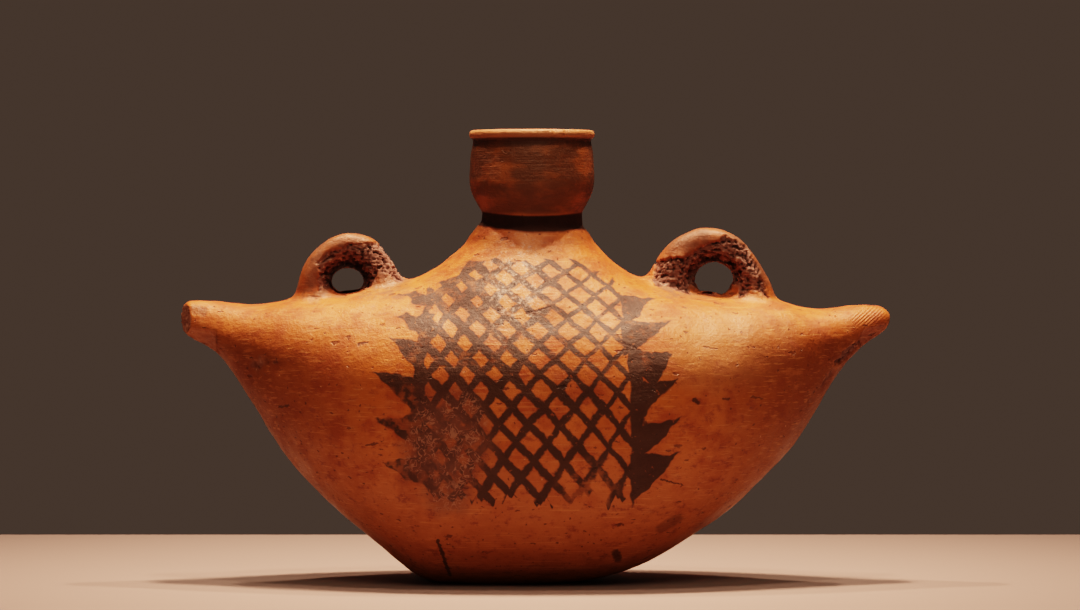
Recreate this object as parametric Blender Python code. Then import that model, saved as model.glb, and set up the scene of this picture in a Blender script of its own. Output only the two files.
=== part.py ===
"""Boat-shaped pottery jar: a hollow keeled body with two horns, a cup-shaped mouth and two pierced lugs.

The whole jar is one piece of fired clay. X runs along the length, the painted front faces -Y, Z is up,
and the origin is under the middle of the jar, on the surface it stands on. All sizes are in metres.
"""

import math

import bmesh
import bpy
from mathutils import Vector

# Body
BODY_LENGTH = 0.2480
BODY_DEPTH = 0.1000
BODY_HEIGHT = 0.1120
BACK_FULLNESS = 2.0
KEEL_FULLNESS = 2.2
WALL = 0.0046
HORN_ROUNDING = 0.0034
HORN_SOLID_LENGTH = 0.0240
HOLLOW_ROUNDING = 0.0140

# Neck, cup and rim, turned round an upright axis
SHOULDER_RISE = 0.0136
SHOULDER_LEVEL = BODY_HEIGHT + SHOULDER_RISE
SHOULDER_FALL = 1.25
SHOULDER_TILT = 0.04
SHOULDER_BLEND = 0.0105
SHOULDER_PINCH = 4.3
SHOULDER_DEPTH_SHARE = 0.80
SHOULDER_ROOF = 0.0050
NECK_X = -0.0011
NECK_RADIUS = 0.0174
NECK_HEIGHT = 0.0034
NECK_WALL = 0.0042
NECK_FLARE = 0.0006
NECK_ROOT_DEPTH = 0.0120
HOLLOW_CEILING = SHOULDER_LEVEL - SHOULDER_ROOF
CUP_FLOOR_LEVEL = SHOULDER_LEVEL + NECK_HEIGHT
CUP_HEIGHT = 0.0286
CUP_RADIUS = 0.0219
CUP_WALL = 0.0034
CUP_FLOOR_THICKNESS = 0.0040
CUP_BELLY_SHARE = 0.45
CUP_BELLY_RINGS = 5
CUP_WAIST_DEPTH = 0.0007
CUP_BELLY_TURN = 1.15
RIM_LEVEL = CUP_FLOOR_LEVEL + CUP_HEIGHT
LIP_OVERHANG = 0.0001
LIP_HEIGHT = 0.0026
LIP_EDGE = 0.0008

# Lugs: where the middle of each hole is as a share of the half length, its rise above the back, its size,
# and how far the clay reaches from that middle, at even turns from the right foot over to the left foot
LEFT_HOLE_PLACE = -0.528
LEFT_HOLE_RISE = 0.0035
LEFT_HOLE_WIDTH = 0.0116
LEFT_HOLE_HEIGHT = 0.0092
LEFT_LUG_REACH = (0.0220, 0.0232, 0.0182, 0.0173, 0.0172, 0.0162, 0.0167, 0.0190, 0.0200)
RIGHT_HOLE_PLACE = 0.502
RIGHT_HOLE_RISE = 0.0058
RIGHT_HOLE_WIDTH = 0.0152
RIGHT_HOLE_HEIGHT = 0.0132
RIGHT_LUG_REACH = (0.0220, 0.0232, 0.0176, 0.0173, 0.0181, 0.0192, 0.0212, 0.0262, 0.0220)
LUG_THICKNESS = 0.0136
LUG_FOOT_THICKENING = 0.3
LUG_FOOT_SHARPNESS = 3
LUG_FULLNESS = 2.6
LUG_TURN = math.radians(60)

# Outlines of the body seen from the front, as shares of half its length and of its height
BACK_LINE = (
    (-1.00, 0.868), (-0.96, 0.880), (-0.79, 0.868), (-0.69, 0.884), (-0.52, 0.908), (-0.35, 0.938),
    (0.00, 0.985), (0.30, 0.938), (0.49, 0.896), (0.68, 0.880), (0.79, 0.850), (0.92, 0.870), (1.00, 0.858),
)
KEEL_LINE = (
    (-1.00, 0.782), (-0.954, 0.752), (-0.890, 0.708), (-0.836, 0.628), (-0.785, 0.529), (-0.692, 0.378),
    (-0.565, 0.228), (-0.456, 0.128), (-0.374, 0.053), (-0.315, 0.005), (-0.20, -0.009), (0.00, -0.010),
    (0.18, 0.008), (0.308, 0.054), (0.461, 0.154), (0.606, 0.279), (0.731, 0.429), (0.810, 0.566),
    (0.856, 0.654), (0.926, 0.738), (1.00, 0.790),
)
# Half depth as a share of its largest, and the level of the widest point as a share of the height
PLAN_LINE = (
    (0.00, 1.000), (0.30, 0.925), (0.50, 0.765), (0.68, 0.535), (0.80, 0.345), (0.90, 0.200), (1.00, 0.112),
)
FLANK_LINE = ((0.00, 0.607), (0.50, 0.637), (0.80, 0.735), (1.00, 0.824))
# Inside of the cup: shares of its height above the cup's floor, and of its widening from the neck's bore
CUP_BORE_LINE = ((0.00, 0.20), (0.22, 0.80), (0.50, 1.00))

# Fineness of the mesh
BODY_STATIONS = 46
BODY_SIDES = 44
SIDE_CROWDING = 0.26
REACH_STEPS = 40
STATION_CROWDING = 0.09
END_RINGS = 4
HOLLOW_STATIONS = 22
HOLLOW_SIDES = 28
TURNED_SIDES = 44
LUG_STATIONS = 22
LUG_SIDES = 14
SHARP_ANGLE = math.radians(35)
CUT_TOLERANCE = 1e-7

CLAY_COLOUR = (0.47, 0.16, 0.045, 1.0)
CLAY_ROUGHNESS = 0.78


def clear_scene():
    """Empties the scene of whatever it holds."""
    for thing in list(bpy.data.objects):
        bpy.data.objects.remove(thing)


def clay_material():
    """Orange earthenware, dull and dry."""
    material = bpy.data.materials.new("fired_clay")
    material.use_nodes = True
    shader = material.node_tree.nodes["Principled BSDF"]
    shader.inputs["Base Color"].default_value = CLAY_COLOUR
    shader.inputs["Roughness"].default_value = CLAY_ROUGHNESS
    shader.inputs["Metallic"].default_value = 0.0
    return material


def along(line, place):
    """The height of a smooth curve through the points of a line at one place along it."""
    last = len(line) - 1
    place = min(max(place, line[0][0]), line[last][0])
    i = max(k for k in range(last) if line[k][0] <= place)
    (x0, y0), (x1, y1) = line[i], line[i + 1]
    chord = (y1 - y0) / (x1 - x0)
    before = (y0 - line[i - 1][1]) / (x0 - line[i - 1][0]) if i > 0 else chord
    after = (line[i + 2][1] - y1) / (line[i + 2][0] - x1) if i + 2 <= last else chord
    start, end = (before + chord) / 2, (chord + after) / 2
    t = (place - x0) / (x1 - x0)
    span = x1 - x0
    return (
        y0 * (1 + 2 * t) * (1 - t) ** 2
        + y1 * t * t * (3 - 2 * t)
        + start * span * t * (1 - t) ** 2
        - end * span * t * t * (1 - t)
    )


def rounding(x, half_length, length):
    """How far a section shrinks towards a rounded end: 1 away from it, 0 at the very end."""
    into = (abs(x) - (half_length - length)) / length
    return math.sqrt(max(0.0, 1 - max(0.0, into) ** 2))


def body_reach(x, angle, end_scale):
    """How far the keeled body, without its shoulder, reaches from the middle of a section."""
    share = x / (BODY_LENGTH / 2)
    flank = along(FLANK_LINE, abs(share)) * BODY_HEIGHT
    half_depth = along(PLAN_LINE, abs(share)) * BODY_DEPTH / 2
    rise = along(BACK_LINE, share) * BODY_HEIGHT - flank
    drop = flank - along(KEEL_LINE, share) * BODY_HEIGHT
    half_height = rise if math.sin(angle) >= 0 else drop
    fullness = BACK_FULLNESS if math.sin(angle) >= 0 else KEEL_FULLNESS
    across = abs(math.cos(angle)) / half_depth
    up = abs(math.sin(angle)) / half_height
    return end_scale * (across ** fullness + up ** fullness) ** (-1 / fullness)


def smooth_least(a, b, blend):
    """The smaller of two distances, rounded where they are nearly the same."""
    mix = min(max(0.5 + 0.5 * (b - a) / blend, 0.0), 1.0)
    return b + (a - b) * mix - blend * mix * (1 - mix)


def surface_reach(x, angle, end_scale, wall):
    """How far the body with its shoulder reaches from the middle of a section, less a wall."""
    flank = along(FLANK_LINE, abs(x) / (BODY_LENGTH / 2)) * BODY_HEIGHT
    keel_reach = body_reach(x, angle, end_scale)
    slope_length = math.hypot(1.0, SHOULDER_FALL)
    top = SHOULDER_LEVEL - SHOULDER_TILT * (x - NECK_X)
    ceiling = HOLLOW_CEILING if wall else RIM_LEVEL
    widest = SHOULDER_DEPTH_SHARE * BODY_DEPTH / 2

    def outside(reach):
        y, z = reach * math.cos(angle), flank + reach * math.sin(angle)
        from_neck = math.hypot(x - NECK_X, y * (1 + SHOULDER_PINCH * abs(y)))
        cone = ((from_neck - NECK_RADIUS) * SHOULDER_FALL - (top - z)) / slope_length
        shoulder = max(cone, from_neck - widest, flank - z)
        shape = smooth_least(reach - keel_reach, shoulder, SHOULDER_BLEND)
        return max(shape + wall, z - ceiling)

    near, far = 0.0, 2 * BODY_HEIGHT
    for _ in range(REACH_STEPS):
        middle = (near + far) / 2
        if outside(middle) < 0:
            near = middle
        else:
            far = middle
    return near


def ring_angles(count):
    """Angles round a section, closer together towards the top, where the shoulder curves."""
    for k in range(count):
        turn = 2 * math.pi * k / count
        yield turn + SIDE_CROWDING * math.cos(turn)


def stations(half_length, end_length, count):
    """Places along the body, closer together round the neck, by the horns and over the rounded ends."""
    straight = half_length - end_length
    end = [straight + end_length * math.sin(math.pi / 2 * k / END_RINGS) for k in range(1, END_RINGS)]
    middle = []
    for k in range(count + 1):
        t = 2 * k / count - 1
        middle.append(straight * (t - STATION_CROWDING * math.sin(2 * math.pi * t)))
    return [-x for x in reversed(end)] + middle + end


def closed_loft(name, rings, first_pole, last_pole):
    """A closed mesh through rings of points, shut by a fan of faces at each end."""
    mesh = bpy.data.meshes.new(name)
    shape = bmesh.new()
    loops = [[shape.verts.new(point) for point in ring] for ring in rings]
    count = len(loops[0])
    for lower, upper in zip(loops, loops[1:]):
        for k in range(count):
            after = (k + 1) % count
            shape.faces.new((lower[k], lower[after], upper[after], upper[k]))
    for pole_point, loop in ((first_pole, loops[0]), (last_pole, loops[-1])):
        pole = shape.verts.new(pole_point)
        for k in range(count):
            shape.faces.new((pole, loop[k], loop[(k + 1) % count]))
    bmesh.ops.recalc_face_normals(shape, faces=shape.faces)
    shape.to_mesh(mesh)
    shape.free()
    made = bpy.data.objects.new(name, mesh)
    bpy.context.scene.collection.objects.link(made)
    return made


def body_solid(name, half_length, end_length, wall, station_count, side_count):
    """The keeled body lofted along its length: the outside, or with a wall the hollow inside it."""
    rings = []
    for x in stations(half_length, end_length, station_count):
        flank = along(FLANK_LINE, abs(x) / (BODY_LENGTH / 2)) * BODY_HEIGHT
        end_scale = rounding(x, BODY_LENGTH / 2, HORN_ROUNDING)
        shrink = rounding(x, half_length, end_length) if wall else 1.0
        ring = []
        for angle in ring_angles(side_count):
            reach = surface_reach(x, angle, end_scale, wall) * shrink
            ring.append(Vector((x, reach * math.cos(angle), flank + reach * math.sin(angle))))
        rings.append(ring)
    end_flank = along(FLANK_LINE, half_length / (BODY_LENGTH / 2)) * BODY_HEIGHT
    first = Vector((-half_length, 0, end_flank))
    last = Vector((half_length, 0, end_flank))
    return closed_loft(name, rings, first, last)


def turned_solid(name, profile):
    """A solid turned round the neck's axis from a profile of radius and level."""
    rings = []
    for radius, level in profile:
        ring = []
        for k in range(TURNED_SIDES):
            turn = 2 * math.pi * k / TURNED_SIDES
            ring.append(Vector((NECK_X + radius * math.cos(turn), radius * math.sin(turn), level)))
        rings.append(ring)
    first = Vector((NECK_X, 0, profile[0][1]))
    last = Vector((NECK_X, 0, profile[-1][1]))
    return closed_loft(name, rings, first, last)


def cup_profile():
    """Outside of the neck and the cup, from inside the shoulder up to the lip."""
    lip_bottom = RIM_LEVEL - LIP_HEIGHT
    lip_radius = CUP_RADIUS + LIP_OVERHANG
    belly_height = CUP_BELLY_SHARE * (RIM_LEVEL - CUP_FLOOR_LEVEL)
    points = [
        (NECK_RADIUS + NECK_FLARE, SHOULDER_LEVEL - NECK_ROOT_DEPTH),
        (NECK_RADIUS + NECK_FLARE / 2, SHOULDER_LEVEL),
        (NECK_RADIUS, CUP_FLOOR_LEVEL),
    ]
    for k in range(1, CUP_BELLY_RINGS + 1):
        share = k / CUP_BELLY_RINGS
        swell = math.sin(math.pi / 2 * min(1.0, CUP_BELLY_TURN * share))
        radius = NECK_RADIUS + (CUP_RADIUS - NECK_RADIUS) * swell
        points.append((radius, CUP_FLOOR_LEVEL + belly_height * share))
    middle = (CUP_FLOOR_LEVEL + belly_height + lip_bottom) / 2
    points.append((CUP_RADIUS - CUP_WAIST_DEPTH / 2, middle))
    points.append((CUP_RADIUS - CUP_WAIST_DEPTH, lip_bottom - LIP_EDGE))
    points.append((lip_radius, lip_bottom + LIP_EDGE))
    points.append((lip_radius, RIM_LEVEL - LIP_EDGE))
    points.append((lip_radius - LIP_EDGE, RIM_LEVEL))
    return points


def bore_profile():
    """Inside of the cup and the neck, from the hollow body up past the rim."""
    neck_bore = NECK_RADIUS - NECK_WALL
    cup_bore = CUP_RADIUS - CUP_WALL
    inner_floor = CUP_FLOOR_LEVEL + CUP_FLOOR_THICKNESS
    points = [(neck_bore, HOLLOW_CEILING - NECK_ROOT_DEPTH), (neck_bore, CUP_FLOOR_LEVEL)]
    for height_share, widening_share in CUP_BORE_LINE:
        radius = neck_bore + (cup_bore - neck_bore) * widening_share
        points.append((radius, inner_floor + (RIM_LEVEL - inner_floor) * height_share))
    points.append((cup_bore, RIM_LEVEL + CUP_WALL))
    return points


def hole_middle(place, rise):
    """The middle of a lug's hole, above the back of the body at its place along the length."""
    return Vector((place * BODY_LENGTH / 2, 0, along(BACK_LINE, place) * BODY_HEIGHT + rise))


def lug_solid(name, hole, hole_width, hole_height, reach_line):
    """A band of clay bent into an arch over a hole, with both feet sunk in the shoulder."""
    whole_turn = math.pi + 2 * LUG_TURN
    reaches = tuple((k * whole_turn / (len(reach_line) - 1), reach) for k, reach in enumerate(reach_line))
    rings, middles = [], []
    for k in range(LUG_STATIONS + 1):
        swept = whole_turn * k / LUG_STATIONS
        turn = swept - LUG_TURN
        outward = Vector((math.cos(turn), 0, math.sin(turn)))
        hole_reach = 1 / math.hypot(2 * math.cos(turn) / hole_width, 2 * math.sin(turn) / hole_height)
        outer_reach = along(reaches, swept)
        half_width = (outer_reach - hole_reach) / 2
        middle = hole + outward * (outer_reach + hole_reach) / 2
        thickening = LUG_FOOT_THICKENING * abs(math.cos(turn)) ** LUG_FOOT_SHARPNESS
        half_thickness = LUG_THICKNESS / 2 * (1 + thickening)
        ring = []
        for j in range(LUG_SIDES):
            side = 2 * math.pi * j / LUG_SIDES
            across, deep = math.cos(side), math.sin(side)
            bulge = (abs(across) ** LUG_FULLNESS + abs(deep) ** LUG_FULLNESS) ** (-1 / LUG_FULLNESS)
            point = middle + outward * half_width * bulge * across
            point.y = half_thickness * bulge * deep
            ring.append(point)
        rings.append(ring)
        middles.append(middle)
    return closed_loft(name, rings, middles[0], middles[-1])


def join_solid(target, tool, operation):
    """Adds a shape to the target or cuts it away, and keeps the tool as a hidden guide."""
    step = target.modifiers.new(tool.name, "BOOLEAN")
    step.operation = operation
    step.solver = "EXACT"
    step.object = tool
    tool.hide_render = True
    tool.display_type = "WIRE"


def flatten_base(target):
    """Cuts the keel off level, so that the jar stands on a small flat spot."""
    shape = bmesh.new()
    shape.from_mesh(target.data)
    everything = shape.verts[:] + shape.edges[:] + shape.faces[:]
    cut = bmesh.ops.bisect_plane(
        shape, geom=everything, dist=CUT_TOLERANCE, plane_co=(0, 0, 0), plane_no=(0, 0, 1), clear_inner=True
    )
    rim = [edge for edge in cut["geom_cut"] if isinstance(edge, bmesh.types.BMEdge)]
    bmesh.ops.edgeloop_fill(shape, edges=rim)
    bmesh.ops.recalc_face_normals(shape, faces=shape.faces)
    shape.to_mesh(target.data)
    shape.free()


def build_jar():
    """The whole jar: body, cup and lugs as one clay, then the hollow cut out through the mouth."""
    jar = body_solid("jar", BODY_LENGTH / 2, HORN_ROUNDING, 0.0, BODY_STATIONS, BODY_SIDES)
    flatten_base(jar)
    cup = turned_solid("cup_form", cup_profile())
    left_hole = hole_middle(LEFT_HOLE_PLACE, LEFT_HOLE_RISE)
    left = lug_solid("left_lug_form", left_hole, LEFT_HOLE_WIDTH, LEFT_HOLE_HEIGHT, LEFT_LUG_REACH)
    right_hole = hole_middle(RIGHT_HOLE_PLACE, RIGHT_HOLE_RISE)
    right = lug_solid("right_lug_form", right_hole, RIGHT_HOLE_WIDTH, RIGHT_HOLE_HEIGHT, RIGHT_LUG_REACH)
    hollow_half = BODY_LENGTH / 2 - HORN_SOLID_LENGTH
    hollow = body_solid("hollow_form", hollow_half, HOLLOW_ROUNDING, WALL, HOLLOW_STATIONS, HOLLOW_SIDES)
    bore = turned_solid("bore_form", bore_profile())
    for form in (cup, left, right):
        join_solid(jar, form, "UNION")
    for form in (hollow, bore):
        join_solid(jar, form, "DIFFERENCE")
    jar.data.shade_smooth()
    jar.data.set_sharp_from_angle(angle=SHARP_ANGLE)
    jar.data.materials.append(clay_material())


clear_scene()
build_jar()
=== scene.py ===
import math

import bpy
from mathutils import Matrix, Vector, noise
from mathutils.bvhtree import BVHTree


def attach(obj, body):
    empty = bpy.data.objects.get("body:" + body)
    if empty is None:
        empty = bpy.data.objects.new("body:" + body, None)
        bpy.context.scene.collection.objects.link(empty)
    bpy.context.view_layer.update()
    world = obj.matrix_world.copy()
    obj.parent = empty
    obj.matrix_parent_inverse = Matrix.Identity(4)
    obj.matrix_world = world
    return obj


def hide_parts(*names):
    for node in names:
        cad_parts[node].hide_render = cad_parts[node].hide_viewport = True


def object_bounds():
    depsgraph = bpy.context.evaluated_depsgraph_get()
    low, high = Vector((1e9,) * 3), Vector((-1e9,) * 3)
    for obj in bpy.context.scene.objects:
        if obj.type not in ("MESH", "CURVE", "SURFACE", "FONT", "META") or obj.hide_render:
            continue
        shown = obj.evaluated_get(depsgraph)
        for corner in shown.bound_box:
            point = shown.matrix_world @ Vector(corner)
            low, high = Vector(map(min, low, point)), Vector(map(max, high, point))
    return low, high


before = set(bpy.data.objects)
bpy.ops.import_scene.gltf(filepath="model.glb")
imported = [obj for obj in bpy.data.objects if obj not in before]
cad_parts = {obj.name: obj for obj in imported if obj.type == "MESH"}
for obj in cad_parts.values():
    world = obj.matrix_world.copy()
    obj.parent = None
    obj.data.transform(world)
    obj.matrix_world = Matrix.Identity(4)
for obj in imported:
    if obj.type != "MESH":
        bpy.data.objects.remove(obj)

cad_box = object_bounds()
scene = bpy.context.scene


# The jar's clay. One piece of fired earthenware: a keeled body pinched out into two horns, with the neck,
# the cup and two pierced lugs luted on while the clay was wet. It starts from the measured solid, whose
# facets are smoothed away as the potter's wet hand did.
SKIN_GRAIN = 0.00156
bpy.ops.object.select_all(action="DESELECT")
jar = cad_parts["jar"].copy()
jar.data = jar.data.copy()
jar.name = "jar_clay"
jar.parent = None
jar.data.materials.clear()
scene.collection.objects.link(jar)
jar.hide_viewport = False
jar.hide_render = False
jar.select_set(True)
bpy.context.view_layer.objects.active = jar
bpy.ops.object.transform_apply(location=True, rotation=True, scale=True)
bpy.ops.object.mode_set(mode="EDIT")
bpy.ops.mesh.select_all(action="SELECT")
bpy.ops.mesh.remove_doubles(threshold=0.00001)
bpy.ops.mesh.normals_make_consistent(inside=False)
bpy.ops.object.mode_set(mode="OBJECT")
measured = jar.copy()
measured.data = jar.data.copy()
measured.name = "measured_jar"
scene.collection.objects.link(measured)

skin = jar.modifiers.new("skin", "REMESH")
skin.mode = "VOXEL"
skin.voxel_size = SKIN_GRAIN
bpy.ops.object.modifier_apply(modifier="skin")


def pick(wanted):
    """Selects the faces of the jar whose middle and normal are wanted."""
    bpy.ops.object.mode_set(mode="EDIT")
    bpy.ops.mesh.select_mode(type="FACE")
    bpy.ops.mesh.select_all(action="DESELECT")
    bpy.ops.object.mode_set(mode="OBJECT")
    chosen = [bool(wanted(face.center, face.normal)) for face in jar.data.polygons]
    jar.data.polygons.foreach_set("select", chosen)
    bpy.ops.object.mode_set(mode="EDIT")


# The hollow inside: the potter's fingers left it plain, so it is kept coarser than the outside.
HOLLOW_TOP = 0.124
HOLLOW_FACES_KEPT = 0.14
walls = BVHTree.FromObject(jar, bpy.context.evaluated_depsgraph_get())
ACROSS = Vector((0, 1, 0))


def inside(middle, normal):
    """True in the hollow body, where clay is met both in front and behind."""
    start = middle + normal * 0.0004
    if start.z > HOLLOW_TOP:
        return False
    return walls.ray_cast(start, ACROSS)[0] is not None and walls.ray_cast(start, -ACROSS)[0] is not None


pick(inside)
bpy.ops.mesh.decimate(ratio=HOLLOW_FACES_KEPT)
bpy.ops.mesh.select_all(action="SELECT")
bpy.ops.object.mode_set(mode="OBJECT")


def away(value, start, end):
    """0 up to start, 1 from end on, smooth between."""
    t = min(max((value - start) / (end - start), 0.0), 1.0)
    return t * t * (3 - 2 * t)


def weigh(name, weight):
    """Makes a vertex group whose weight at each point is worked out from its place."""
    group = jar.vertex_groups.new(name=name)
    for point in jar.data.vertices:
        amount = weight(point.co)
        if amount > 0.001:
            group.add([point.index], min(amount, 1.0), "REPLACE")


NECK_MIDDLE = -0.0011


def turned(co):
    """The neck and the cup, which were finished on a turning mat, with the crease at their foot."""
    from_axis = math.hypot(co.x - NECK_MIDDLE, co.y)
    return away(co.z, 0.1190, 0.1215) * (1 - away(from_axis, 0.0225, 0.0255))


weigh("rubbed", lambda co: (1 - turned(co)) * away(co.z, 0.0, 0.002))
rub = jar.modifiers.new("rub", "SMOOTH")
rub.factor = 0.6
rub.iterations = 14
rub.vertex_group = "rubbed"
bpy.ops.object.modifier_apply(modifier="rub")

# The lugs' holes, the cup and the horns' ends carry the finest relief, so their faces are divided again.
LUG_HOLES = ((-0.0656, 0.1052), (0.0623, 0.1064))
LUG_REACH = 0.0235
LUG_HALF_DEPTH = 0.0125
HORN_ENDS_FROM = 0.104


def near_lug(middle):
    """True on either lug, above the jar's shoulder."""
    for hole_x, hole_z in LUG_HOLES:
        from_middle = abs(middle.x - hole_x)
        if math.hypot(from_middle, middle.z - hole_z) < LUG_REACH and abs(middle.y) < LUG_HALF_DEPTH:
            return middle.z > hole_z - 0.0075 or (from_middle > 0.010 and middle.z > hole_z - 0.014)
    return False


pick(lambda middle, normal: near_lug(middle))
bpy.ops.mesh.subdivide(number_cuts=2)
pick(lambda middle, normal: turned(middle) > 0.3)
bpy.ops.mesh.subdivide(number_cuts=1)
pick(lambda middle, normal: abs(middle.x) > HORN_ENDS_FROM)
bpy.ops.mesh.subdivide(number_cuts=1)
bpy.ops.object.mode_set(mode="OBJECT")


def trued(co):
    """The neck and cup, and the walls of the lug holes, which keep the measured shape."""
    for (hole_x, hole_z), reach in zip(LUG_HOLES, (0.0085, 0.0100)):
        if math.hypot(co.x - hole_x, (co.z - hole_z) * 1.25) < reach and abs(co.y) < 0.006:
            return 1.0
    return turned(co)


weigh("trued", trued)
wrap = jar.modifiers.new("wrap", "SHRINKWRAP")
wrap.target = measured
wrap.wrap_method = "NEAREST_SURFACEPOINT"
wrap.vertex_group = "trued"
bpy.ops.object.modifier_apply(modifier="wrap")
ease = jar.modifiers.new("ease", "SMOOTH")
ease.factor = 0.5
ease.iterations = 2
ease.vertex_group = "trued"
bpy.ops.object.modifier_apply(modifier="ease")
bpy.data.objects.remove(measured)


# Hand-made unevenness: no coil or thumb stroke leaves the wall true, and the body was scraped and wiped.
def hand_worked(co):
    """All of the outside but the flat foot and the top of the lip."""
    return away(co.z, 0.0003, 0.004) * (1 - away(co.z, 0.1535, 0.156)) * (1 - 0.6 * turned(co))


weigh("hand_worked", hand_worked)
for name, size, height in (("thumb_marks", 0.018, 0.0011), ("wiping", 0.0060, 0.00030)):
    marks = bpy.data.textures.new(name, "CLOUDS")
    marks.noise_scale = size
    marks.noise_depth = 1
    press = jar.modifiers.new(name, "DISPLACE")
    press.texture = marks
    press.texture_coords = "LOCAL"
    press.strength = height
    press.mid_level = 0.62
    press.vertex_group = "hand_worked"
    bpy.ops.object.modifier_apply(modifier=name)


# Wear on the lugs. The burnished skin has scaled off round both holes and down the flanks, and the coarse
# clay under it is crumbling. The lists give, for the left and the right lug, mm against the turn round the
# hole in degrees: 0 points to the right horn and 90 up. They are the arch's outer edge, the width of skin
# that is left along that edge, and how far the hole's crumbled funnel spreads.
LUG_EDGE = (
    (
        (-60, 22.0), (-30, 23.2), (0, 18.2), (30, 17.3), (60, 17.2), (90, 16.2), (120, 16.7), (150, 19.0),
        (240, 20.0),
    ),
    (
        (-60, 22.0), (-30, 23.2), (0, 17.6), (30, 17.3), (60, 18.1), (90, 19.2), (120, 21.2), (150, 26.2),
        (240, 22.0),
    ),
)
SKIN_LEFT = (
    ((-60, -2.0), (42, -2.0), (54, 0.4), (66, 3.0), (90, 3.6), (129, 5.1), (162, 9.0), (240, 9.5)),
    (
        (-60, 1.8), (0, 1.2), (30, 2.0), (58, 2.6), (73, 3.6), (90, 6.5), (120, 10.0), (147, 13.5),
        (158, 8.5), (166, 4.0), (240, 1.0),
    ),
)
FUNNEL = (
    ((-90, 1.0), (-20, 1.6), (20, 2.6), (60, 5.6), (90, 6.3), (130, 5.6), (170, 2.6), (240, 1.2)),
    ((-90, 0.8), (0, 1.8), (90, 2.2), (180, 2.6), (240, 1.0)),
)
FUNNEL_DEPTH = 0.0046
HOLE_HALF = ((5.8, 4.3), (7.0, 5.8))
HOLE_NARROWING = (0.10, 0.20)
LUG_HALF_THICKNESS = 0.0067
SIDE_BARE_TO = 0.0074
RIGHT_FOOT_FLARE = 0.0018


def between(line, place):
    """The value at a place on a line of straight stretches."""
    for (x0, y0), (x1, y1) in zip(line, line[1:]):
        if place <= x1:
            return y0 + (y1 - y0) * (place - x0) / (x1 - x0)
    return line[-1][1]


def lug_place(co):
    """Which lug a point is on, its distance in mm from the outer edge and the hole, and its turn, or None."""
    for lug, (hole_x, hole_z) in enumerate(LUG_HOLES):
        right, up = (co.x - hole_x) * 1000, (co.z - hole_z) * 1000
        reach = math.hypot(right, up)
        if reach < 28 and abs(co.y) < LUG_HALF_DEPTH:
            turn = math.atan2(up, right)
            degrees = math.degrees(turn)
            if degrees < -90:
                degrees += 360
            half_wide, half_high = HOLE_HALF[lug]
            hole = 1 / math.hypot(math.cos(turn) / half_wide, math.sin(turn) / half_high)
            return lug, between(LUG_EDGE[lug], degrees) - reach, reach - hole, degrees
    return None


# Smaller worn places on the horns and the cup: middle, half length and half width in mm, tilt and depth.
WORN_SPOTS = (
    ((-95.5, 76.6), 4.2, 2.2, 20, 0.5),
    ((109.0, 80.4), 6.5, 1.3, 42, 0.9),
    ((101.5, 71.0), 5.0, 0.8, 50, 0.6),
    ((96.0, 64.5), 3.0, 0.6, 50, 0.5),
    ((120.6, 88.6), 2.6, 0.9, 25, 0.6),
    ((-113.5, 84.0), 3.0, 0.5, -25, 0.4),
    ((-122.9, 92.4), 4.4, 1.0, 82, 0.7),
    ((-16.5, 144.5), 6.0, 5.5, 0, 0.16),
    ((19.0, 146.5), 4.5, 2.2, 90, 0.14),
    ((-76.5, 98.5), 2.6, 1.6, 30, 0.25),
)


def crumbling(co):
    """How far the skin is gone, from 0 to 1, on the lugs and in the smaller worn places."""
    ragged = noise.noise(co * 420) * 1.1 + noise.noise(co * 1300) * 0.7
    if co.y < 0.004:
        for (middle_x, middle_z), half_long, half_wide, tilt, depth in WORN_SPOTS:
            turn = math.radians(tilt)
            right, up = co.x * 1000 - middle_x, co.z * 1000 - middle_z
            along = right * math.cos(turn) + up * math.sin(turn)
            aside = up * math.cos(turn) - right * math.sin(turn)
            far = math.hypot(along / half_long, aside / half_wide)
            if far < 1.6:
                return depth * (1 - away(far + ragged * 0.35, 0.7, 1.1))
    found = lug_place(co)
    if not found:
        return 0.0
    lug, from_edge, from_hole, degrees = found
    hole_x, hole_z = LUG_HOLES[lug]
    skin_left = between(SKIN_LEFT[lug], degrees)
    gone = away(from_edge + ragged, skin_left, skin_left + 0.5)
    if abs(co.x - hole_x) < 0.0085:
        foot = away(co.z, hole_z - 0.0035, hole_z - 0.0015)
    else:
        foot = away(co.z + ragged / 1000, hole_z - 0.0095, hole_z - 0.0080)
    side = SIDE_BARE_TO + (RIGHT_FOOT_FLARE if lug == 1 and degrees > 150 else 0.0)
    return gone * foot * (1 - away(abs(co.y) + ragged * 0.0006, side, side + 0.0012))


def flaking(co):
    """Height of the bare clay, 0 in the hollows to 1 on the ledges: it parts in thin wavy layers."""
    p = co * 1000
    sway = noise.noise(p / 3.1) * 1.3
    sway += noise.noise(Vector((p.x / 1.5, p.y / 1.5, p.z / 2.0)) + Vector((7, 3, 1))) * 0.55
    layer = p.z / 1.45 + sway
    ledge = 1 - (layer - math.floor(layer))
    lumps = noise.noise(Vector((p.x / 1.1, p.y / 1.1, p.z / 0.8))) * 0.5 + 0.5
    holes = away(noise.noise(Vector((p.x / 1.7, p.y / 1.7, p.z / 1.2)) + Vector((2, 9, 4))), 0.12, 0.40)
    return max(0.0, min(1.0, 0.55 * ledge + 0.60 * lumps - 0.55 * holes))


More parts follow.
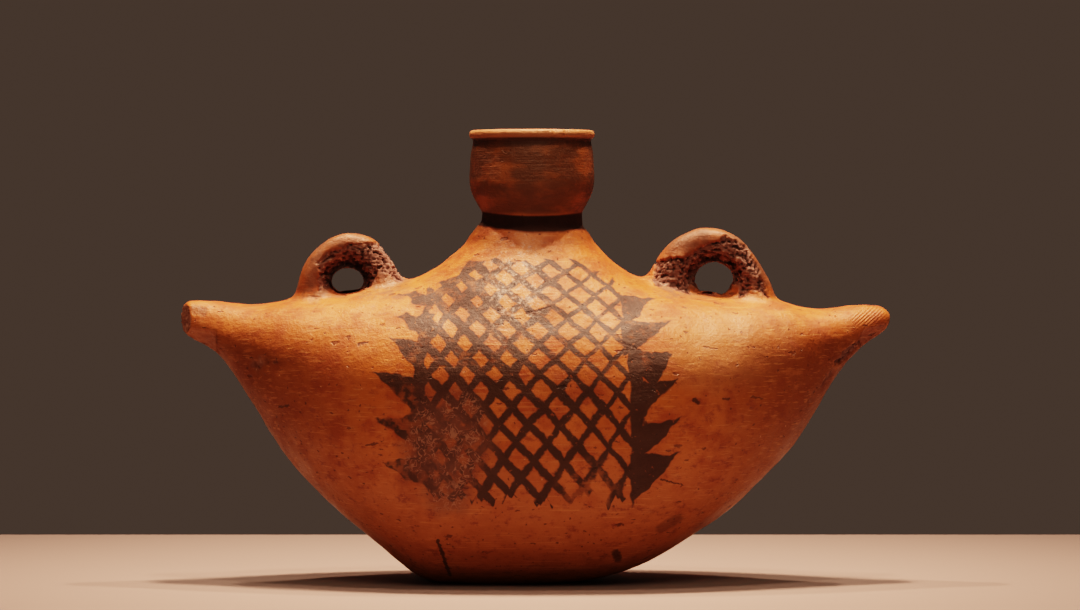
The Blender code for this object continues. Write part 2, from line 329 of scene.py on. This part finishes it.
def hollowed(start, lug, from_edge, from_hole, degrees):
    """A lug's point, its side squared up, sunk towards the hole, and the hole drawn in at its waist."""
    moved = start.copy()
    hole_x, hole_z = LUG_HOLES[lug]
    aside = abs(start.y)
    from_hole += 0.7 * noise.noise(start * 260) + 0.35 * noise.noise(start * 700)
    square = away(start.z, hole_z - 0.008, hole_z - 0.003) * away(from_edge, -3.0, 1.5)
    if aside < LUG_HALF_THICKNESS:
        fuller = LUG_HALF_THICKNESS * (aside / LUG_HALF_THICKNESS) ** 0.62
        moved.y += math.copysign((fuller - aside) * square, start.y)
    sunk = (1 - away(from_hole, 0.1, between(FUNNEL[lug], degrees))) * away(aside, 0.0008, 0.004)
    moved.y -= math.copysign(FUNNEL_DEPTH * sunk, start.y)
    narrow = HOLE_NARROWING[lug] * (1 - away(from_hole, 0.4, 2.4)) * (1 - away(aside, 0.0015, 0.0050))
    moved.x += (hole_x - start.x) * narrow
    moved.z += (hole_z - 0.0004 - start.z) * narrow
    return moved


LIP_UNDERSIDE = 0.1549
LIP_GROOVE = 0.0006
LIP_CHIP = 0.0004


def lip_worn(start):
    """How far a point is cut in towards the neck's axis: the groove under the lip and the lip's chips."""
    if not 0.0200 < math.hypot(start.x - NECK_MIDDLE, start.y) < 0.026 or start.z < 0.146:
        return Vector()
    groove = away(start.z, LIP_UNDERSIDE - 0.0065, LIP_UNDERSIDE - 0.0012)
    groove *= 1 - away(start.z, LIP_UNDERSIDE - 0.0002, LIP_UNDERSIDE + 0.0003)
    chip = away(noise.noise(start * 330), 0.25, 0.50) * away(start.z, 0.1535, 0.155)
    out = Vector((start.x - NECK_MIDDLE, start.y, 0)).normalized()
    return out * (LIP_GROOVE * groove + LIP_CHIP * chip)


# Flat breaks, each with a point on it, the way it faces, its reach and how much bare core it shows: the end
# snapped off the left horn, and the flakes struck off below it and under the right horn.
BREAKS = (
    ((-0.12285, 0.0, 0.0925), (-0.905, -0.420, 0.05), 0.011, 0.65),
    ((-0.11800, -0.0036, 0.08560), (-0.30, -0.60, -0.74), 0.0105, 0.12),
    ((0.11900, -0.0032, 0.08730), (0.42, -0.52, -0.74), 0.0090, 0.25),
)
HORN_DRAWN_OUT = 0.00105
SKIN_THICKNESS = 0.00025
CRUMBLE_DEPTH = 0.00115
points = jar.data.vertices
for point in points:
    point.co.x += math.copysign(HORN_DRAWN_OUT * away(abs(point.co.x), 0.108, 0.1225), point.co.x)
outwards = [point.normal.copy() for point in points]
bare = []
ledges = []
for point, outward in zip(points, outwards):
    start = point.co.copy()
    moved = start.copy()
    gone = crumbling(start)
    height = flaking(start) if gone > 0.01 else 0.6
    shown, ledge = gone, height
    found = lug_place(start)
    if found:
        from_hole = found[2]
        moved = hollowed(start, *found)
        gone *= 1 - 0.75 * (1 - away(from_hole, 0.2, 1.6))
        # Deep in a lug hole the bare clay is set to its darkest colour, as painted shade in the bore.
        hole_shade = 1 - away(from_hole, -0.3, 1.4) if abs(start.y) < 0.0065 else 0.0
        shown = max(shown, 0.9 * hole_shade)
        ledge = min(ledge, 1 - 0.95 * hole_shade)
    moved -= outward * gone * (SKIN_THICKNESS + CRUMBLE_DEPTH * (1 - height))
    moved -= lip_worn(start)
    for place, facing, reach, core_shown in BREAKS:
        facing = Vector(facing).normalized()
        beyond = (moved - Vector(place)).dot(facing)
        far = (start - Vector(place)).length + 0.0012 * noise.noise(start * 500)
        near = 1 - away(far, reach * 0.72, reach)
        if beyond > 0 and near > 0:
            moved -= facing * near * (beyond + 0.0002 + 0.0003 * noise.noise(start * 900))
            shown = max(shown, core_shown * near * away(beyond, 0.0, 0.0004))
            ledge = 0.62 + 0.5 * noise.noise(start * 700)
    point.co = [min(max(value, low), high) for value, low, high in zip(moved, *cad_box)]
    bare.append(shown)
    ledges.append(ledge)
for name, values in (("bare_clay_and_shade", bare), ("ledges", ledges)):
    jar.data.attributes.new(name, "FLOAT", "POINT").data.foreach_set("value", values)
jar.vertex_groups.clear()
bpy.ops.object.shade_smooth()


# The clay's finish: orange earthenware, wiped and hand-burnished, browned by the fire round the cup, with a
# net and teeth brushed on in dark iron slip before firing.
clay = bpy.data.materials.new("painted_earthenware")
clay.use_nodes = True
tree = clay.node_tree
shader = tree.nodes["Principled BSDF"]


def feed(node, inputs):
    """Links or sets a node's inputs in order; None leaves one as it is."""
    for socket, value in zip(node.inputs, inputs):
        if isinstance(value, bpy.types.NodeSocket):
            tree.links.new(value, socket)
        elif value is not None:
            socket.default_value = value


def maths(operation, *inputs):
    """One sum on numbers."""
    node = tree.nodes.new("ShaderNodeMath")
    node.operation = operation
    feed(node, inputs)
    return node.outputs[0]


def times(a, b):
    """Two numbers multiplied."""
    return maths("MULTIPLY", a, b)


def most(a, b):
    """The larger of two numbers."""
    return maths("MAXIMUM", a, b)


def vectors(operation, *inputs):
    """One sum on vectors."""
    node = tree.nodes.new("ShaderNodeVectorMath")
    node.operation = operation
    feed(node, inputs)
    return node.outputs["Value" if operation in ("DOT_PRODUCT", "LENGTH", "DISTANCE") else "Vector"]


def stretched(vector, by):
    """A vector with each axis multiplied by its own number."""
    return vectors("MULTIPLY", vector, by)


def scaled(vector, by):
    """A vector times a number."""
    return vectors("SCALE", vector, None, None, by)


def joined(x, y, z):
    """A vector from three numbers."""
    node = tree.nodes.new("ShaderNodeCombineXYZ")
    feed(node, (x, y, z))
    return node.outputs[0]


def grain(vector, size, detail=3.0, roughness=0.55, distortion=0.0, output="Fac"):
    """Cloudy noise from 0 to 1 whose features are about size across, in the units of the vector."""
    node = tree.nodes.new("ShaderNodeTexNoise")
    node.inputs["Scale"].default_value = 1.0 / size
    node.inputs["Detail"].default_value = detail
    node.inputs["Roughness"].default_value = roughness
    node.inputs["Distortion"].default_value = distortion
    tree.links.new(vector, node.inputs["Vector"])
    return node.outputs[output]


def ramp(value, low, high, out_low=0.0, out_high=1.0):
    """A smooth rise from one value to another."""
    node = tree.nodes.new("ShaderNodeMapRange")
    node.interpolation_type = "SMOOTHSTEP"
    feed(node, (value, low, high, out_low, out_high))
    return node.outputs[0]


def coloured(amount, under, over):
    """One colour laid over another by an amount."""
    node = tree.nodes.new("ShaderNodeMix")
    node.data_type = "RGBA"
    for socket, value in ((node.inputs[0], amount), (node.inputs[6], under), (node.inputs[7], over)):
        if isinstance(value, bpy.types.NodeSocket):
            tree.links.new(value, socket)
        elif isinstance(value, tuple):
            socket.default_value = (*value, 1.0)
        else:
            socket.default_value = value
    return node.outputs[2]


where = tree.nodes.new("ShaderNodeTexCoord").outputs["Object"]
mm = scaled(where, 1000.0)
axes = tree.nodes.new("ShaderNodeSeparateXYZ")
tree.links.new(mm, axes.inputs[0])
x, y, z = axes.outputs
flank = joined(x, 0.0, z)
front = ramp(y, 4.0, -4.0)


def from_spot(middle_x, middle_z, narrow_x=1.0, narrow_z=1.0):
    """Distance in mm from a spot seen from the front. An axis narrowed below 1 has a longer spot on it."""
    middle = (middle_x * narrow_x, 0.0, middle_z * narrow_z)
    return vectors("DISTANCE", stretched(flank, (narrow_x, 1.0, narrow_z)), middle)


# Clay body: broad firing colour, redder and browner drifts, painted shade under the horns, wiping streaks
# along the jar, grit and pits.
ORANGE_CLAY = (0.44, 0.127, 0.025)
LIGHTER_CLAY = (0.51, 0.163, 0.043)
REDDER_CLAY = (0.31, 0.067, 0.015)
PALE_RIGHT_FLANK = (0.46, 0.225, 0.105)
SHADE_UNDER_HORNS = (0.17, 0.046, 0.010)
DULL_LOWER_THIRD = (0.39, 0.132, 0.045)
DARK_BLOTCH = (0.20, 0.042, 0.018)
WIPED_STREAK = (0.56, 0.205, 0.072)
DARK_SPECK = (0.13, 0.036, 0.012)
drift = grain(mm, 34.0, 2.0)
mottle = grain(mm, 9.0, 4.0, 0.6)
blotch = grain(stretched(mm, (1.0, 1.0, 1.5)), 3.6, 4.0, 0.7)
streaks = grain(stretched(mm, (0.14, 0.6, 1.0)), 2.2, 4.0, 0.65)
specks = grain(mm, 1.0, 2.0, 0.6)
colour = coloured(ramp(drift, 0.36, 0.66), ORANGE_CLAY, LIGHTER_CLAY)
colour = coloured(ramp(mottle, 0.42, 0.66, 0.0, 0.8), colour, REDDER_CLAY)
pale = maths("MULTIPLY_ADD", grain(mm, 12.0, 3.0, 0.6), 12.0, from_spot(66.0, 82.0, narrow_x=0.5))
colour = coloured(ramp(pale, 24.0, 10.0, 0.0, 0.55), colour, PALE_RIGHT_FLANK)
# The clay under the horns at both ends is painted darker, as the shade that falls there.
below_horns = ramp(maths("MULTIPLY_ADD", drift, 10.0, z), 101.0, 86.0)
shade_at_ends = times(ramp(maths("ABSOLUTE", x), 40.0, 100.0), below_horns)
colour = coloured(times(shade_at_ends, 0.75), colour, SHADE_UNDER_HORNS)
lower_third = ramp(maths("MULTIPLY_ADD", drift, 20.0, z), 64.0, 36.0, 0.0, 0.75)
colour = coloured(lower_third, colour, DULL_LOWER_THIRD)
blotches = times(ramp(z, 95.0, 40.0, 0.45, 0.95), ramp(blotch, 0.52, 0.68, 0.0, 0.75))
colour = coloured(blotches, colour, DARK_BLOTCH)
colour = coloured(ramp(streaks, 0.52, 0.72, 0.0, 0.4), colour, WIPED_STREAK)
colour = coloured(ramp(specks, 0.64, 0.74, 0.0, 0.5), colour, DARK_SPECK)


def pitting(vector, apart, across, share):
    """1 in round pits of a given size that lie about so far apart, in a share of the places for them."""
    node = tree.nodes.new("ShaderNodeTexVoronoi")
    node.inputs["Scale"].default_value = 1.0 / apart
    tree.links.new(vector, node.inputs["Vector"])
    chance = tree.nodes.new("ShaderNodeSeparateColor")
    tree.links.new(node.outputs["Color"], chance.inputs[0])
    rare = ramp(chance.outputs[0], share, share - 0.02)
    return times(rare, ramp(node.outputs["Distance"], across / apart * 0.55, across / apart * 0.35))


SCRATCH = (0.60, 0.27, 0.10)
PIT_DIRT_AND_SHADE = (0.105, 0.024, 0.008)
PALE_GRIT = (0.66, 0.36, 0.20)
shaken = grain(mm, 1.0 / 0.9, 2.0, 0.5, output="Color")
ragged = vectors("ADD", mm, scaled(shaken, 1.6))
small_pits = pitting(ragged, 2.1, 0.85, 0.20)
low_wide_pits = pitting(stretched(ragged, (0.45, 0.8, 1.25)), 4.4, 1.7, 0.12)
long_nicks = pitting(stretched(ragged, (0.40, 0.7, 1.4)), 2.3, 0.95, 0.15)
nicks = most(long_nicks, most(small_pits, low_wide_pits))
grit = pitting(ragged, 2.9, 0.55, 0.10)
scratches = ramp(grain(stretched(mm, (0.035, 0.3, 1.5)), 0.9, 2.0, 0.6), 0.60, 0.66)
colour = coloured(times(scratches, 0.35), colour, SCRATCH)
# Pits are coloured dark, partly as dirt in them and partly as painted shade that their shallow bump can't
# cast.
colour = coloured(times(nicks, 0.75), colour, PIT_DIRT_AND_SHADE)
colour = coloured(times(grit, 0.6), colour, PALE_GRIT)

# The net. Its cells were counted along both slants; a sum of ten terms gives a point's place between
# strokes, with x over 50 and the height above 70 over 40 as measures, so each stroke keeps its own bend.
# The terms are 1, x and z, then their squares, their cubes and z cubed, and their shares were fitted by
# least squares to the measured middles of the cells.
RISING_STROKES = ((-0.335, 4.774, -3.380), (-0.331, -0.055, -0.755), (0.779, 0.595, -0.564), -0.134)
FALLING_STROKES = ((1.085, -4.836, -3.927), (0.091, 0.056, -0.431), (-0.730, -0.427, -0.694), -0.326)
across = times(x, 0.02)
rise = maths("MULTIPLY_ADD", z, 0.025, -1.75)
straight = joined(1.0, across, rise)
squares = joined(times(across, across), times(across, rise), times(rise, rise))
cubes = scaled(squares, across)
rise_cubed = maths("POWER", rise, 3.0)


def stroke_count(straight_share, square_share, cube_share, last_share):
    """The number of the stroke at a point, counted across the net."""
    count = vectors("DOT_PRODUCT", straight, straight_share)
    count = maths("ADD", count, vectors("DOT_PRODUCT", squares, square_share))
    count = maths("ADD", count, vectors("DOT_PRODUCT", cubes, cube_share))
    return maths("MULTIPLY_ADD", rise_cubed, last_share, count)


# Where the brush was heavy: place, how far off it starts and is full, and how much wider the strokes are.
HEAVY_STROKES = (((-24.0, 103.0), 15.0, 4.0, 0.09), ((-18.0, 72.0), 20.0, 6.0, 0.045))
wobble = grain(mm, 7.0, 2.0)
waver = maths("MULTIPLY_ADD", wobble, 0.36, -0.18)
rising = maths("ADD", stroke_count(*RISING_STROKES), waver)
falling = maths("SUBTRACT", stroke_count(*FALLING_STROKES), waver)
brush = maths("MULTIPLY_ADD", grain(mm, 11.0, 1.0), 0.14, 0.072)
brush = maths("SUBTRACT", brush, times(across, 0.05))
for place, starts, full, wider in HEAVY_STROKES:
    brush = maths("ADD", brush, ramp(from_spot(*place), starts, full, 0.0, wider))


def from_stroke(count):
    """How far a point is from the middle of the nearest stroke, in strokes."""
    return maths("SUBTRACT", 0.5, maths("PINGPONG", count, 0.5))


thin = maths("SUBTRACT", from_stroke(rising), brush)
thick = maths("SUBTRACT", maths("SUBTRACT", from_stroke(falling), brush), 0.045)
edge_fray = maths("MULTIPLY_ADD", grain(mm, 1.3, 1.0), 0.10, -0.05)
lattice = maths("ADD", maths("SMOOTH_MIN", thin, thick, 0.05), edge_fray)

# Outline of the net and the teeth at its sides, as straight edges in mm: (x, z) corners, clay to the left.
unsteady_x = maths("ADD", x, maths("MULTIPLY_ADD", wobble, 3.0, -1.5))
unsteady_z = maths("ADD", z, maths("MULTIPLY_ADD", grain(mm, 6.0, 2.0, 0.45), 6.0, -3.0))
unsteady = joined(unsteady_x, 1.0, unsteady_z)


def edge(start, end):
    """Distance outside a straight edge, for corners given clockwise."""
    (x0, z0), (x1, z1) = start, end
    long = math.hypot(x1 - x0, z1 - z0)
    out_x, out_z = -(z1 - z0) / long, (x1 - x0) / long
    return vectors("DOT_PRODUCT", unsteady, (out_x, -(out_x * x0 + out_z * z0), out_z))


def patch(corners):
    """Distance outside a patch with straight edges."""
    sides = [edge(a, b) for a, b in zip(corners, corners[1:] + corners[:1])]
    far = sides[0]
    for side in sides[1:]:
        far = most(far, side)
    return far


NET_OUTLINE = [
    (-37.0, 102.0), (-22.0, 112.0), (12.0, 113.0), (27.0, 107.0), (33.5, 92.0), (37.0, 66.0), (34.0, 24.0),
    (-20.0, 24.0), (-35.0, 30.0), (-42.0, 54.0), (-41.5, 74.0),
]
SIDE_BANDS = (((34.0, 110.0), (36.5, 30.0)), ((-39.0, 30.0), (-41.0, 104.0)))
BAND_WIDTH = 3.2
NET_FOOT = 31.5
TEETH = [
    [(-48.0, 100.2), (-35.0, 101.6), (-35.0, 96.0)],
    [(-47.5, 93.8), (-34.0, 94.4), (-36.0, 84.5)],
    [(-50.0, 86.2), (-35.0, 84.0), (-39.0, 74.0)],
    [(-55.0, 75.0), (-38.0, 73.0), (-40.5, 60.5)],
    [(-54.5, 59.5), (-38.0, 60.0), (-38.5, 47.0)],
    [(-52.5, 45.0), (-35.0, 46.0), (-33.0, 33.0)],
    [(41.5, 99.4), (31.5, 91.0), (28.5, 99.8)],
    [(46.5, 91.4), (30.0, 79.0), (28.5, 92.4)],
    [(47.0, 80.2), (40.5, 70.5), (33.5, 74.0), (33.0, 83.2)],
    [(48.5, 72.6), (36.0, 59.8), (33.0, 71.0)],
    [(49.2, 58.8), (35.5, 44.5), (34.0, 57.5)],
    [(49.0, 47.0), (33.0, 29.0), (32.0, 46.0)],
]
drips = grain(joined(x, 3.0, times(z, 0.2)), 4.2, 2.0, 0.6)
drips = maths("MULTIPLY_ADD", drips, 17.0, NET_FOOT - 8.5)
outline = most(patch(NET_OUTLINE), maths("SUBTRACT", drips, z))
within_bands = maths("SUBTRACT", -BAND_WIDTH, most(edge(*SIDE_BANDS[0]), edge(*SIDE_BANDS[1])))
painted = maths("MINIMUM", most(outline, times(lattice, 7.5)), most(outline, within_bands))
for tooth in TEETH:
    painted = maths("MINIMUM", painted, patch(tooth))
paint = ramp(painted, 0.35, -0.35)

# Wear of the paint: rubbed thin over the shoulder, scuffed through in patches.
SLIP = (0.040, 0.018, 0.012)
SLIP_ON_SHOULDER = (0.034, 0.018, 0.015)
rough_edge = maths("MULTIPLY_ADD", grain(mm, 7.0, 3.0, 0.6), 20.0, -10.0)
scuff = ramp(maths("ADD", rough_edge, from_spot(-31.0, 47.0)), 18.0, 11.0)
outer_scuff = ramp(maths("ADD", rough_edge, from_spot(-46.0, 48.3, narrow_z=0.6)), 14.0, 9.0)
low_rub = ramp(from_spot(18.0, 35.0), 13.0, 4.0)
rubbed = times(most(most(scuff, outer_scuff), low_rub), ramp(grain(mm, 3.4, 2.0, 0.5), 0.40, 0.58))
flecks = ramp(grain(stretched(mm, (0.8, 1.0, 1.0)), 1.8, 3.0, 0.7), 0.63, 0.74)
shoulder = ramp(z, 73.0, 80.0)
thinness = times(shoulder, ramp(grain(mm, 4.0, 3.0, 0.7), 0.48, 0.74, 0.0, 0.40))
wear = most(times(rubbed, 0.55), most(times(flecks, 0.6), thinness))
paint = times(paint, maths("SUBTRACT", 1.0, wear))
colour = coloured(times(paint, 0.95), colour, coloured(shoulder, SLIP, SLIP_ON_SHOULDER))

# Purplish grime rubbed into the scuffed corner of the net, with pale scratches in it.
GRIME = (0.125, 0.052, 0.036)
GRIME_SCRATCH = (0.38, 0.20, 0.135)
grime = maths("MULTIPLY_ADD", grain(mm, 8.0, 3.0, 0.6), 22.0, from_spot(-30.0, 49.3, narrow_z=0.75))
grime = times(ramp(grime, 31.0, 20.0), ramp(grain(mm, 4.0, 3.0, 0.5), 0.34, 0.60, 0.45, 0.92))
grime = times(grime, front)
colour = coloured(grime, colour, GRIME)
swirl = maths("ABSOLUTE", maths("SUBTRACT", grain(mm, 2.6, 1.0, 0.5, 1.2), 0.5))
swirl = times(ramp(swirl, 0.050, 0.018), ramp(grime, 0.25, 0.55))
swirl = times(swirl, ramp(grain(mm, 5.0, 2.0), 0.40, 0.52))
colour = coloured(times(swirl, 0.65), colour, GRIME_SCRATCH)

# Pale patch on the shoulder: partly lime bloom that the soil left, partly a painted sheen of the overhead
# light.
LIME_BLOOM_AND_SHEEN = (0.55, 0.42, 0.36)
bloom_and_sheen = ramp(from_spot(-7.0, 103.3, narrow_z=0.6), 17.0, 3.0)
bloom_and_sheen = times(bloom_and_sheen, ramp(grain(mm, 1.6, 4.0, 0.75), 0.48, 0.66, 0.0, 0.55))
colour = coloured(bloom_and_sheen, colour, LIME_BLOOM_AND_SHEEN)

# Stains and cracks, as (start, end) in mm across the front: half width, darkness.
STAIN = (0.045, 0.012, 0.005)
MARKS = (
    ((-33.1, 16.7), (-29.3, 3.8), 0.55, 0.85),
    ((27.8, 12.0), (28.6, 9.8), 1.3, 0.8),
    ((43.2, 20.4), (49.0, 24.0), 1.6, 0.45),
    ((42.8, 38.2), (50.5, 35.9), 0.30, 0.8),
    ((54.3, 65.1), (55.2, 64.3), 0.8, 0.9),
    ((36.6, 58.2), (37.2, 57.7), 0.8, 0.8),
    ((-2.5, 94.6), (5.0, 96.6), 0.30, 0.95),
    ((30.0, 84.5), (34.5, 82.6), 0.28, 0.9),
    ((57.6, 83.0), (62.0, 82.2), 0.30, 0.6),
    ((-88.0, 62.0), (-84.5, 62.6), 0.35, 0.7),
    ((-57.5, 49.6), (-53.5, 50.4), 0.30, 0.7),
    ((-119.0, 95.2), (-115.0, 94.4), 1.4, 0.5),
    ((64.0, 65.5), (66.0, 65.3), 0.4, 0.7),
    ((74.0, 65.9), (78.0, 65.3), 0.35, 0.6),
    ((-60.0, 84.0), (-57.0, 84.6), 0.4, 0.8),
)
for (x0, z0), (x1, z1), half_width, darkness in MARKS:
    long = math.hypot(x1 - x0, z1 - z0)
    from_start = vectors("SUBTRACT", stretched(ragged, (1.0, 0.0, 1.0)), (x0 + 0.8, 0.0, z0 + 0.8))
    along = vectors("DOT_PRODUCT", from_start, ((x1 - x0) / long, 0.0, (z1 - z0) / long))
    aside = vectors("DOT_PRODUCT", from_start, (-(z1 - z0) / long, 0.0, (x1 - x0) / long))
    past_end = most(maths("SUBTRACT", along, long), most(maths("SUBTRACT", 0.0, along), 0.0))
    apart = vectors("LENGTH", joined(past_end, aside, 0.0))
    mark = times(front, ramp(apart, half_width * 1.5, half_width * 0.6, 0.0, darkness))
    colour = coloured(mark, colour, STAIN)
    nicks = most(nicks, times(mark, 0.5))

# The lugs were handled most and are browner, with earth left in the corners at their feet.
LUG_BROWN = (0.175, 0.068, 0.034)
EARTH = (0.155, 0.080, 0.050)
beyond_shoulder = ramp(maths("ABSOLUTE", x), 40.0, 48.0)
lug_skin = times(ramp(z, 100.5, 104.5), beyond_shoulder)
colour = coloured(times(lug_skin, ramp(mottle, 0.35, 0.65, 0.6, 1.0)), colour, LUG_BROWN)
earth = times(ramp(z, 98.5, 100.0), times(beyond_shoulder, ramp(z, 106.0, 102.0)))
colour = coloured(times(earth, ramp(blotch, 0.40, 0.60, 0.1, 0.6)), colour, EARTH)

# The cup was browned and blackened by the fire, but for three warm patches and its rubbed lip. Under the lip
# a dark band is painted shade, and the neck below the cup is painted dark as the cup's shadow, whose edge
# sags in front.
CUP_CLAY = (0.31, 0.104, 0.030)
SOOT = (0.125, 0.052, 0.025)
UNDER_LIP_SHADE = (0.050, 0.015, 0.007)
RUBBED_LIP = (0.44, 0.20, 0.095)
NECK_SHADOW_PAINT = (0.030, 0.008, 0.004)
WARM_PATCHES = ((-12.5, 143.0, 7.5), (17.0, 146.0, 6.0), (-19.0, 132.0, 4.0))
cup_part = ramp(z, 127.5, 129.5)
colour = coloured(cup_part, colour, CUP_CLAY)
soot = grain(stretched(mm, (0.6, 0.6, 1.4)), 6.0, 4.0, 0.6)
for warm_x, warm_z, reach in WARM_PATCHES:
    warm = vectors("DISTANCE", joined(x, times(y, 0.2), z), (warm_x, -2.5, warm_z))
    soot = maths("SUBTRACT", soot, ramp(warm, reach, reach * 0.3, 0.0, 0.24))
soot = times(times(cup_part, ramp(soot, 0.20, 0.56, 0.08, 0.95)), ramp(z, 155.6, 154.9))
colour = coloured(soot, colour, SOOT)
# A dark band under the lip is painted shade.
under_lip_shade = times(ramp(z, 150.6, 153.4), ramp(z, 155.0, 154.5))
colour = coloured(times(under_lip_shade, 0.7), colour, UNDER_LIP_SHADE)
colour = coloured(ramp(z, 154.4, 155.2, 0.0, 0.8), colour, RUBBED_LIP)
# The neck under the cup is painted dark as the cup's shadow; its lower edge sags in front.
from_axis = vectors("LENGTH", joined(maths("SUBTRACT", x, NECK_MIDDLE * 1000), y, 0.0))
sag = times(front, maths("MULTIPLY_ADD", times(x, x), -0.0045, 1.4))
neck_painted_shadow = times(ramp(maths("ADD", z, sag), 129.5, 128.7), ramp(from_axis, 19.2, 18.2))
neck_painted_shadow = times(neck_painted_shadow, ramp(z, 118.0, 119.5))
colour = coloured(neck_painted_shadow, colour, NECK_SHADOW_PAINT)

# Bare, crumbling clay on the lugs and the breaks: pale ledges over dark hollows, as painted light and shade
# that follow the height of the flaking, with painted shade at its darkest deep in the lug holes.
HOLLOW_SHADE_CORE = (0.060, 0.026, 0.020)
CORE = (0.215, 0.112, 0.092)
LIT_LEDGE_CORE = (0.43, 0.28, 0.225)
bare_and_shaded = tree.nodes.new("ShaderNodeAttribute")
bare_and_shaded.attribute_name = "bare_clay_and_shade"
ledge = tree.nodes.new("ShaderNodeAttribute")
ledge.attribute_name = "ledges"
crumb = maths("MULTIPLY_ADD", grain(mm, 1.0, 3.0, 0.7), 0.5, -0.25)
crumb = maths("ADD", ledge.outputs["Fac"], crumb)
core = coloured(ramp(crumb, 0.05, 0.65), HOLLOW_SHADE_CORE, CORE)
core = coloured(ramp(crumb, 0.66, 0.95), core, LIT_LEDGE_CORE)
colour = coloured(bare_and_shaded.outputs["Fac"], colour, core)
tree.links.new(colour, shader.inputs["Base Color"])

# Shine and fine relief: a dull burnish, duller on paint, on bare clay and in the painted shadow on the neck,
# with grain, turning lines on the cup and comb marks on the right horn.
COMB_PITCH = 0.48
roughness = maths("MULTIPLY_ADD", paint, 0.10, ramp(mottle, 0.3, 0.7, 0.44, 0.62))
roughness = maths("MULTIPLY_ADD", most(neck_painted_shadow, bare_and_shaded.outputs["Fac"]), 0.4, roughness)
tree.links.new(roughness, shader.inputs["Roughness"])
relief = times(grain(mm, 1.8, 3.0, 0.65), 0.58)
relief = maths("MULTIPLY_ADD", grain(mm, 0.55, 3.0, 0.7), 0.26, relief)
turning = grain(stretched(mm, (0.10, 0.10, 1.9)), 1.2, 3.0, 0.65)
turning = maths("MULTIPLY_ADD", grain(mm, 1.3, 2.0, 0.7), 0.8, turning)
combing = maths("PINGPONG", vectors("DOT_PRODUCT", mm, (0.64, 0.0, -0.77)), COMB_PITCH)
combed = times(front, ramp(from_spot(115.5, 94.0), 8.0, 3.0))
for height, share in (
    (times(turning, cup_part), 0.55), (times(combing, combed), 0.65), (streaks, 0.35), (nicks, -0.9),
    (scratches, -0.06), (grit, 0.15),
):
    relief = maths("MULTIPLY_ADD", height, share, relief)
bump = tree.nodes.new("ShaderNodeBump")
bump.inputs["Strength"].default_value = 0.6
bump.inputs["Distance"].default_value = 0.0008
tree.links.new(relief, bump.inputs["Height"])
tree.links.new(bump.outputs[0], shader.inputs["Normal"])

jar.data.materials.append(clay)
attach(jar, "root")
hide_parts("jar")


# The studio: a plain pale floor, soft warm light from overhead with a weak fill from the front, and the
# camera where the photograph was taken from.
FLOOR_COLOUR = (0.285, 0.235, 0.228, 1.0)
AIR_COLOUR = (0.20, 0.145, 0.115, 1.0)
WARM_LIGHT = (1.0, 0.63, 0.43)
FILL_LIGHT = (1.0, 0.74, 0.50)
JAR_MIDDLE = (0.0, 0.0, 0.08)
bpy.ops.mesh.primitive_plane_add(size=1.0, location=(0, -1.085, 0))
floor = bpy.context.active_object
floor.name = "floor"
floor.scale = (3.4, 2.6, 1.0)
bpy.ops.object.transform_apply(location=False, rotation=False, scale=True)
cloth = bpy.data.materials.new("pale_floor")
cloth.use_nodes = True
floor_shader = cloth.node_tree.nodes["Principled BSDF"]
floor_shader.inputs["Base Color"].default_value = FLOOR_COLOUR
floor_shader.inputs["Roughness"].default_value = 0.85
floor.data.materials.append(cloth)

world = bpy.data.worlds.new("studio_air")
world.use_nodes = True
world.node_tree.nodes["Background"].inputs["Color"].default_value = AIR_COLOUR
world.node_tree.nodes["Background"].inputs["Strength"].default_value = 0.26
scene.world = world


def lamp(name, place, size, power, colour, spread):
    """A soft square lamp aimed at the jar."""
    light = bpy.data.lights.new(name, "AREA")
    light.shape = "SQUARE"
    light.size = size
    light.energy = power
    light.color = colour
    light.spread = math.radians(spread)
    holder = bpy.data.objects.new(name, light)
    scene.collection.objects.link(holder)
    holder.location = place
    holder.rotation_euler = (Vector(JAR_MIDDLE) - Vector(place)).to_track_quat("-Z", "Y").to_euler()


lamp("overhead", (0.02, 0.03, 1.3), 0.10, 0.90, WARM_LIGHT, 36.0)
lamp("overhead_left", (-0.36, 0.14, 1.2), 0.03, 0.40, WARM_LIGHT, 45.0)
lamp("overhead_right", (0.34, 0.14, 1.2), 0.03, 0.40, WARM_LIGHT, 45.0)
lamp("front_top", (0.06, -0.34, 1.3), 0.10, 0.30, WARM_LIGHT, 45.0)
lamp("soft_front", (0.15, -0.95, 1.10), 0.7, 0.95, FILL_LIGHT, 90.0)

camera = bpy.data.cameras.new("camera")
camera.sensor_width = 36.0
camera.lens = 131.67
camera.clip_start = 0.05
camera_holder = bpy.data.objects.new("camera", camera)
scene.collection.objects.link(camera_holder)
camera_holder.location = (0.00175, -1.380, 0.1211)
camera_holder.rotation_euler = (math.radians(90 - 1.015), 0, 0)
scene.camera = camera_holder
scene.view_settings.view_transform = "Filmic"
scene.view_settings.look = "High Contrast"
scene.view_settings.exposure = 0.38
